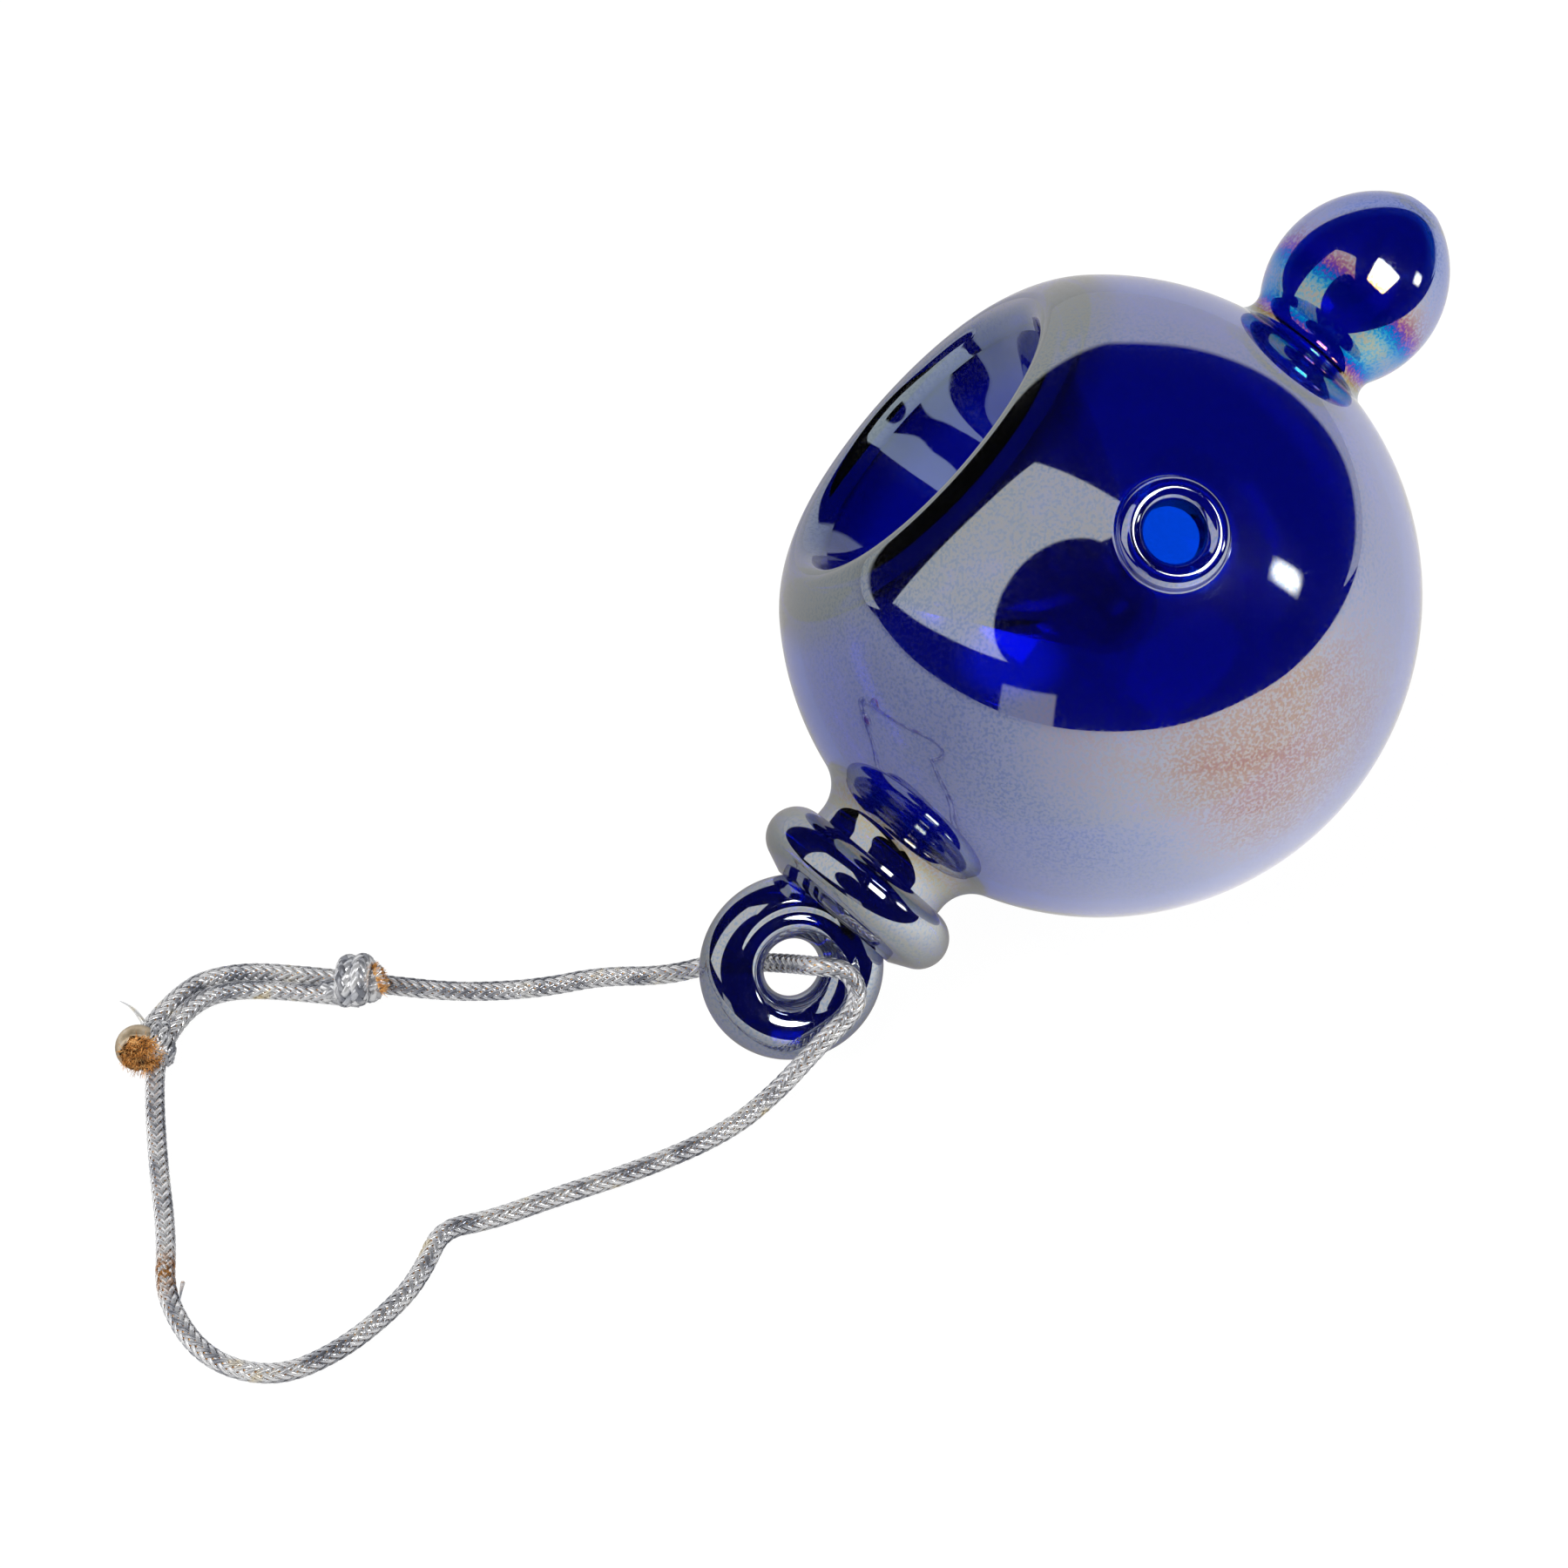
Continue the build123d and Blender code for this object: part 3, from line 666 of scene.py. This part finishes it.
section = braid_node("GeometryNodeCurvePrimitiveCircle", {"Resolution": 6, "Radius": 1.0},
                     mode="RADIUS").outputs[0]
size = braid_node("ShaderNodeCombineXYZ", {0: times(braid_tree, given["Strand thickness"], 0.5),
                                           1: times(braid_tree, given["Strand width"], 0.5),
                                           2: 1.0}).outputs[0]
section = braid_node("GeometryNodeTransform", {"Geometry": section, "Scale": size}).outputs[0]
mesh = braid_node("GeometryNodeCurveToMesh", {"Curve": strands, "Profile Curve": section, "Fill Caps": True})
end_tree(braid_tree, mesh.outputs[0], given["Foil"])

foil, tree, shader, place = new_material("silver_foil")
crease, wear = noise(tree, place, 2200.0, 3.0), noise(tree, place, 380.0, 4.0)
own = add_node(tree, "ShaderNodeAttribute", attribute_name="strand").outputs["Fac"]
silver = ramp(tree, wear, [(0.30, (0.50, 0.52, 0.57)), (0.46, (0.92, 0.92, 0.94)),
                           (0.62, (0.95, 0.95, 0.95)), (0.74, (0.86, 0.72, 0.45))])

# the strands that wind one way carry painted shade, darker as if their facets were turned from the light,
# and the core shows through at a worn spot on the loop
painted_shade_one_way = times(tree, calc(tree, "GREATER_THAN", own, 7.5), spread(tree, wear, 0.40, 0.60, 0.80, 0.22))
silver = blend(tree, painted_shade_one_way, silver, (0.16, 0.17, 0.21))
worn_spot = (under_ring + Vector((-62.7, 15.3, 1.2))) * mm
bare = spread(tree, vector_calc(tree, "DISTANCE", place, worn_spot), 3.2 * mm, 0.8 * mm)
bare = times(tree, bare, spread(tree, crease, 0.42, 0.55))
fill(tree, shader, {"Base Color": blend(tree, bare, silver, (0.45, 0.20, 0.05)), "Metallic": 0.72,
                    "Roughness": spread(tree, wear, 0.3, 0.7, 0.14, 0.26),
                    "Normal": bump(tree, crease, 0.5, 0.0001)})


def braided(name, line_mesh, **sizes):
    """Winds the foil strands round a line."""
    piece = worked(name, line_mesh, braid_tree, {"Foil": foil, **sizes})
    piece.data.shade_smooth()
    return piece


cord_braid = braided("cord_braid_strands", cord_line)
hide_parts("cord_braid")


# ---- knots -------------------------------------------------------
# Each end of the cord is tied round itself in a tight overhand knot that shows as two turns of
# braid. At the far one the last bend is a dome of tarnished foil, and slivers of foil stand off.
toward_hanger = Vector((0.737, -0.676, 0))


def knot_line(name, middle, axis, coil, length, turns, start, lead_in, lead_out):
    """A line that comes in, winds round an axis side by side, and goes out."""
    axis = axis.normalized()
    side = axis.cross(Vector((0, 0, 1))).normalized()
    steps = round(turns * 8)
    corners = [middle + Vector(p) for p in lead_in]
    for i in range(steps + 1):
        a = math.radians(start + 360 * turns * i / steps)
        corners.append(middle + axis * (length * (i / steps - 0.5)) + side * (coil * math.cos(a))
                       + side.cross(axis) * (coil * math.sin(a)))
    line = smooth_line(name, corners + [middle + Vector(p) for p in lead_out])
    points = made_mesh(line)
    bpy.data.objects.remove(line)
    return points


near_middle, far_middle = (Vector([(a + b) / 2 for a, b in zip(*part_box(node))]) / mm
                           for node in ("near_knot", "far_knot"))
near_line = knot_line("near_knot_line", near_middle + Vector((0, 0, 0.22)),
                      toward_hanger + Vector((0, 0, 0.12)), 1.6, 2.5, 2.0, -60,
                      [(-2.6, 1.9, -1.3), (-1.2, 0.9, -1.2)], [(0.8, -0.9, 0.2), (1.9, -1.6, 0.5)])
near_knot = braided("near_knot_braid", near_line,
                    **{"Pitch": 7 * mm, "Radius": 0.92 * mm, "Strand width": 0.76 * mm})
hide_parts("near_knot")
far_line = knot_line("far_knot_line", far_middle + Vector((1.1, -0.5, 0.02)),
                     toward_hanger + Vector((0, 0, -0.25)), 1.45, 1.8, 1.75, 150,
                     [(0.6, 1.8, -0.9)], [(-0.4, -1.4, -1.0)])
far_knot = braided("far_knot_braid", far_line, **{"Pitch": 7 * mm})
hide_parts("far_knot")

tarnish, tree, shader, place = new_material("tarnished_foil")
tan = ramp(tree, noise(tree, place, 700.0, 3.0),
           [(0.35, (0.36, 0.27, 0.17)), (0.55, (0.62, 0.50, 0.35)), (0.72, (0.80, 0.76, 0.70))])
fill(tree, shader, {"Base Color": tan, "Metallic": 0.7, "Roughness": 0.42})

# the dome is a shell round the far cut end, open towards it, with a ragged edge
open_way = Vector((-0.50, -0.77, 0.39)).normalized()
dome_middle = far_middle - toward_hanger * 0.6 + Vector((-0.16, -0.18, 0.1))
dome_radius, dome_wall, dome_opening, dome_rings, dome_sides = 2.15, 0.14, 55, 14, 40
across = open_way.cross(Vector((0, 0, 1))).normalized()
points = []
for i in range(dome_rings + 1):
    tilt = math.radians(dome_opening + (180 - dome_opening) * i / dome_rings)
    for k in range(dome_sides):
        a = 2 * math.pi * k / dome_sides
        ragged = 0.09 * math.sin(5 * a + 1) + 0.05 * math.sin(11 * a) if i == 0 else 0
        reach = math.sin(tilt + ragged)
        way = open_way * math.cos(tilt + ragged) + across * (reach * math.cos(a)) \
            + across.cross(open_way) * (reach * math.sin(a))
        points.append((dome_middle + way * dome_radius) * mm)
rows = [[dome_sides * i + k % dome_sides for k in range(dome_sides + 1)] for i in range(dome_rings + 1)]
faces = [(row[k], row[k + 1], after[k + 1], after[k])
         for row, after in zip(rows, rows[1:]) for k in range(dome_sides)]
dome_mesh = bpy.data.meshes.new("far_knot_dome")
dome_mesh.from_pydata(points, [], faces)
shell = bmesh.new()
shell.from_mesh(dome_mesh)
bmesh.ops.remove_doubles(shell, verts=shell.verts[:], dist=1e-6)
bmesh.ops.recalc_face_normals(shell, faces=shell.faces[:])
bmesh.ops.solidify(shell, geom=shell.faces[:], thickness=dome_wall * mm)
bmesh.ops.recalc_face_normals(shell, faces=shell.faces[:])
shell.to_mesh(dome_mesh)
shell.free()
dome_mesh.shade_smooth()
dome_mesh.materials.append(tarnish)
dome = placed("far_knot_dome", dome_mesh)
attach(dome, "hanging_cord")


def sliver(name, corners, width):
    """A loose strip of foil that tapers to a point, led by these corners."""
    line = smooth_line(name, corners)
    round_off(line, width * mm / 2, 1)
    for i, point in enumerate(line.data.splines[0].points):
        point.radius = 1 - 0.93 * (i / (len(corners) - 1)) ** 1.5
    line.data.materials.append(foil)
    strip = placed(name + "_strip", made_mesh(line))
    bpy.data.objects.remove(line)
    strip.data.shade_smooth()
    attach(strip, "hanging_cord")
    return strip


slivers = [sliver("far_knot_sliver", [(-83.1, 38.2, 2.9), (-82.9, 39.6, 3.3), (-82.7, 41.2, 3.1),
                                      (-82.9, 42.6, 2.7)], 0.55),
           sliver("loop_sliver", [(-98.4, 13.4, 1.3), (-99.4, 12.4, 1.7), (-100.4, 11.3, 1.9)], 0.4)]


# ---- cut ends ----------------------------------------------------
# Past each knot the cord is cut off, and the brown fibres of its core fray out of the braid: a
# flared brush at the near knot, and a ragged singed tuft in the mouth of the far dome.
fray_tree, given = new_tree("cut_fibres", (
    ("Density", "Float", 6e7), ("Length", "Float", 1.0 * mm), ("Splay", "Float", 0.9),
    ("Fibre radius", "Float", 0.045 * mm), ("Curl", "Float", 0.5 * mm), ("Seed", "Int", 3)), "Fibre", "Tuft")


def fray_node(kind, inputs=(), **settings):
    return add_node(fray_tree, kind, inputs, **settings)


# fibres stand on the face at random, lean out from it, and each is a thin cone of its own length
roots = fray_node("GeometryNodeDistributePointsOnFaces",
                  {"Mesh": given["Start"], "Density": given["Density"], "Seed": given["Seed"]})
lean = fray_node("FunctionNodeRandomValue", {0: (-1, -1, -1), 1: (1, 1, 1), "Seed": given["Seed"]},
                 data_type="FLOAT_VECTOR").outputs[0]
lean = vector_calc(fray_tree, "SCALE", lean, Scale=given["Splay"])
lean = vector_calc(fray_tree, "ADD", lean, roots.outputs["Normal"])
stand = fray_node("FunctionNodeAlignRotationToVector", {"Vector": lean}, axis="Z").outputs[0]
tall = fray_node("FunctionNodeRandomValue", {2: 0.45, 3: 1.0, "Seed": given["Seed"]}, data_type="FLOAT")
tall = times(fray_tree, tall.outputs[1], given["Length"])
size = fray_node("ShaderNodeCombineXYZ", {0: given["Fibre radius"], 1: given["Fibre radius"], 2: tall})
hair = fray_node("GeometryNodeMeshCone", {"Vertices": 5, "Side Segments": 4, "Radius Top": 0.35,
                                          "Radius Bottom": 1.0, "Depth": 1.0}).outputs[0]
tuft = fray_node("GeometryNodeInstanceOnPoints", {"Points": roots.outputs["Points"], "Instance": hair,
                                                  "Rotation": stand, "Scale": size.outputs[0]})
tuft = fray_node("GeometryNodeRealizeInstances", {0: tuft.outputs[0]}).outputs[0]

# and curls a little
wander = fray_node("ShaderNodeTexNoise", {"Scale": 900.0, "Detail": 1.0}).outputs["Color"]
wander = vector_calc(fray_tree, "SUBTRACT", wander, (0.5, 0.5, 0.5))
wander = vector_calc(fray_tree, "SCALE", wander, Scale=given["Curl"])
tuft = fray_node("GeometryNodeSetPosition", {"Geometry": tuft, "Offset": wander}).outputs[0]
end_tree(fray_tree, tuft, given["Fibre"])


def frayed(name, foot, way, radius, bulge, replaced, **sizes):
    """A tuft of cut fibres that stands on a small rounded face, made of four rings of sixteen."""
    way = way.normalized()
    side = way.cross(Vector((0, 0, 1))).normalized()
    points = [foot + way * bulge]
    for r in (0.25, 0.5, 0.75, 1.0):
        points += [foot + side * (radius * r * math.cos(k * math.pi / 8)) + way * (bulge * (1 - r * r))
                   + way.cross(side) * (radius * r * math.sin(k * math.pi / 8)) for k in range(16)]
    rings = [[1 + 16 * i + k % 16 for k in range(17)] for i in range(4)]
    faces = [(0, rings[0][k], rings[0][k + 1]) for k in range(16)]
    faces += [(ring[k], after[k], after[k + 1], ring[k + 1])
              for ring, after in zip(rings, rings[1:]) for k in range(16)]
    rounded = bpy.data.meshes.new(name)
    rounded.from_pydata([p * mm for p in points], [], faces)
    piece = worked(name, rounded, fray_tree, {"Fibre": fibre, **sizes})
    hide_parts(replaced)
    return piece


near_end = frayed("near_cut_fibres", near_middle + toward_hanger * 1.9 + Vector((0, 0, 0.4)),
                  Vector((0.82, -0.5, 0.28)), 1.3, 0.25, "near_cut_end",
                  **{"Density": 7e7, "Length": 0.9 * mm, "Splay": 0.75, "Seed": 5})
far_end = frayed("far_cut_fibres", dome_middle + open_way * 1.1 + toward_hanger * 0.3,
                 open_way, 1.7, 0.5, "far_cut_end",
                 **{"Density": 6.5e7, "Length": 1.2 * mm, "Splay": 0.8, "Curl": 0.8 * mm, "Seed": 8})


# ---- table and backdrop ------------------------------------------
# A white table top and a white paper sweep behind it, in a dark room with one broad soft lamp on
# the left and a small bright one low on the right.
bpy.ops.mesh.primitive_circle_add(vertices=96, radius=0.9, fill_type="NGON", location=(0, 0, 0))
table_top = bpy.context.object
table_top.name = "table_top"
white, tree, shader, place = new_material("white_table_painted_light")
fill(tree, shader, {"Base Color": (0.86, 0.86, 0.86, 1), "Roughness": 0.9, "Specular IOR Level": 0.1})

# the glass mirrors a table top painted with light, brighter to one side, and sees through itself the table
# with a painted shadow and two painted pools of light
# painted light: the table's glow in reflections is set by bearing round the object, not by any lamp
beside, beyond = (vector_calc(tree, "DOT_PRODUCT", place, way) for way in ((1, 0, 0), (0, 1, 0)))
bearing = calc(tree, "ADD", calc(tree, "DIVIDE", calc(tree, "ARCTAN2", beyond, beside), 2 * math.pi), 0.5)
brightest = 1.3
painted_table_light = ramp(tree, bearing, [((angle + 180) / 360, glare / brightest) for angle, glare in (
    (-180, 0.33), (-165, 0.47), (-140, 0.74), (-125, 0.95), (-90, 1.25), (-70, 1.28), (-44, 1.10),
    (-25, 1.02), (0, 1.0), (50, 0.68), (113, 0.47), (150, 0.30), (180, 0.32))])
painted_table_light = times(tree, painted_table_light, brightest)
# painted shadow: the table seen through the glass is darker than white, with two painted pools of light
# added where light through the glass would fall
painted_shadow_and_pools = 0.58
for spot, reach, gain in (((36.5, 21.5, 0.0), 9.0, 0.85), ((11.1, 19.8, 0.0), 7.0, 1.3)):
    away = vector_calc(tree, "DISTANCE", place, Vector(spot) * mm)
    painted_shadow_and_pools = calc(tree, "ADD", spread(tree, away, reach * mm, 0.4 * reach * mm, 0.0, gain, smooth=True), painted_shadow_and_pools)
glow = add_node(tree, "ShaderNodeEmission", {"Color": (1, 1, 1, 1)})
ray = add_node(tree, "ShaderNodeLightPath").outputs
seen = 1.03
for kind, other in (("Is Glossy Ray", painted_table_light), ("Is Transmission Ray", painted_shadow_and_pools)):
    seen = add_node(tree, "ShaderNodeMix", {0: ray[kind], 2: seen, 3: other}, data_type="FLOAT").outputs[0]
tree.links.new(seen, glow.inputs["Strength"])
share = calc(tree, "ADD", times(tree, ray["Is Camera Ray"], 0.95), times(tree, ray["Is Glossy Ray"], 0.85))
share = calc(tree, "ADD", share, times(tree, ray["Is Transmission Ray"], 0.9), clamp=True)
mixed = add_node(tree, "ShaderNodeMixShader", {0: share, 1: shader.outputs[0], 2: glow.outputs[0]})
tree.links.new(mixed.outputs[0], tree.nodes["Material Output"].inputs[0])
table_top.data.materials.append(white)
table_top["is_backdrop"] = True

world = bpy.data.worlds.new("studio")
bpy.context.scene.world = world
world.use_nodes = True
tree = world.node_tree
aim = add_node(tree, "ShaderNodeTexCoord").outputs["Generated"]
ray = add_node(tree, "ShaderNodeLightPath").outputs


def facing(azimuth, elevation):
    """Direction at an azimuth from +Y towards +X and a height above the table's level."""
    a, e = math.radians(azimuth), math.radians(elevation)
    return Vector((math.sin(a) * math.cos(e), math.cos(a) * math.cos(e), math.sin(e)))


def panel(azimuth, elevation, sides, softness=0.008, twist=0.0):
    """A flat panel that faces the object: sides are (across, up, reach), each a straight edge."""
    axis = facing(azimuth, elevation)
    right = axis.cross(Vector((0, 0, 1))).normalized()
    up = right.cross(axis)
    right, up = (Matrix.Rotation(math.radians(twist), 3, axis) @ v for v in (right, up))
    ahead, edge_on = vector_calc(tree, "DOT_PRODUCT", aim, axis), 0.02
    depth = calc(tree, "MAXIMUM", ahead, edge_on)
    across, above = (calc(tree, "DIVIDE", vector_calc(tree, "DOT_PRODUCT", aim, way), depth)
                     for way in (right, up))
    mask = calc(tree, "GREATER_THAN", ahead, edge_on)
    for a, b, reach in sides:
        size = math.hypot(a, b)
        past = calc(tree, "ADD", times(tree, across, a / size), times(tree, above, b / size))
        inner = spread(tree, past, reach / size + softness, reach / size - softness)
        mask = times(tree, mask, inner)
    return mask, across, above


# left soft lamp: a broad tilted panel, with the stand and camera in front of its lower corner
broad, across, above = panel(-70, 45, ((1, 0.064, 0.3425), (0.49, 0.606, 0.44), (-0.233, 0.417, 0.4705),
                                       (-0.264, -0.914, 0.656), (-1, 0, 0.8)))
across = calc(tree, "POWER", calc(tree, "DIVIDE", calc(tree, "ADD", across, 0.80), 0.56), 2.0)
above = calc(tree, "POWER", calc(tree, "DIVIDE", calc(tree, "SUBTRACT", above, 0.10), 0.64), 2.0)
notch = calc(tree, "ADD", across, above)
broad = times(tree, broad, spread(tree, notch, 0.97, 1.03))

# the small lamp, a high one behind it, a pale card low on the left and the sweep of paper behind
small = panel(146, 21, ((1, 0, 0.035), (-1, 0, 0.035), (0, 1, 0.085), (0, -1, 0.085)), 0.04, 20)[0]
high = panel(171, 48.6, ((1, 0, 0.13), (-1, 0, 0.13), (0, 1, 0.17), (0, -1, 0.17)), 0.012, 12)[0]
card = panel(-112, 3, ((1, 0, 0.17), (-1, 0, 0.15), (0.1, 1, 0.09), (0, -1, 0.12)))[0]
sweep, across, above = panel(40, 0, ((0, -1, 0.3),))
curve = calc(tree, "POWER", calc(tree, "DIVIDE", calc(tree, "ABSOLUTE", across), 0.9), 2.2)
curve = times(tree, calc(tree, "EXPONENT", times(tree, curve, -1.0)), 0.66)
sweep = times(tree, sweep, spread(tree, calc(tree, "SUBTRACT", above, curve), 0.04, -0.03))
light = 0.0
for mask, strength in ((broad, 0.9), (small, 9.0), (high, 10.0), (card, 0.45), (sweep, 0.72)):
    light = calc(tree, "MAXIMUM", light, times(tree, mask, strength))
light = calc(tree, "ADD", light, 0.003)
mirrored = calc(tree, "MAXIMUM", ray["Is Glossy Ray"], ray["Is Transmission Ray"])
plain_room = calc(tree, "ADD", times(tree, ray["Is Camera Ray"], 0.45), 0.55)
strength = add_node(tree, "ShaderNodeMix", {0: mirrored, 2: plain_room, 3: light},
                    data_type="FLOAT").outputs[0]
fill(tree, tree.nodes["Background"], {"Color": (1, 1, 1, 1), "Strength": strength})
world.cycles.sampling_method = "NONE"

lamp_distance = 0.62
for name, azimuth, elevation, width, depth, power in (("broad_lamp", -70, 45, 0.5, 0.6, 5.6),
                                                      ("small_lamp", 146, 21, 0.13, 0.2, 1.1)):
    lamp = placed(name, bpy.data.lights.new(name, "AREA"))
    lamp.data.shape = "RECTANGLE"
    lamp.data.size, lamp.data.size_y = width, depth
    lamp.data.energy = power
    lamp.location = facing(azimuth, elevation) * lamp_distance + Vector((0, 0, globe_radius * mm))
    lamp.rotation_euler = facing(azimuth, elevation).to_track_quat("Z", "Y").to_euler()
    lamp.visible_camera = lamp.visible_glossy = lamp.visible_transmission = False


# ---- camera ------------------------------------------------------
# A long lens looks down on the table from the hanger's side, with the globe right of the middle.
camera = placed("camera", bpy.data.cameras.new("camera"))
turn_round, look_down = math.radians(-42.5), math.radians(47.25)
back = Vector((math.sin(turn_round) * math.cos(look_down), -math.cos(turn_round) * math.cos(look_down),
               math.sin(look_down)))
right = Vector((math.cos(turn_round), math.sin(turn_round), 0))
up = back.cross(right)
distance, aim_left, aim_down = 488.6, 29.48, 17.51
camera.location = (globe_centre + back * distance - right * aim_left - up * aim_down) * mm
camera.rotation_euler = Matrix((right, up, back)).transposed().to_euler()
camera.data.lens = 120
camera.data.sensor_width = 36
camera.data.clip_start = 0.01
bpy.context.scene.camera = camera
bpy.context.scene.view_settings.view_transform = "Standard"


# ---- finish ------------------------------------------------------
# The box round the made model is found.
low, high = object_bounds()
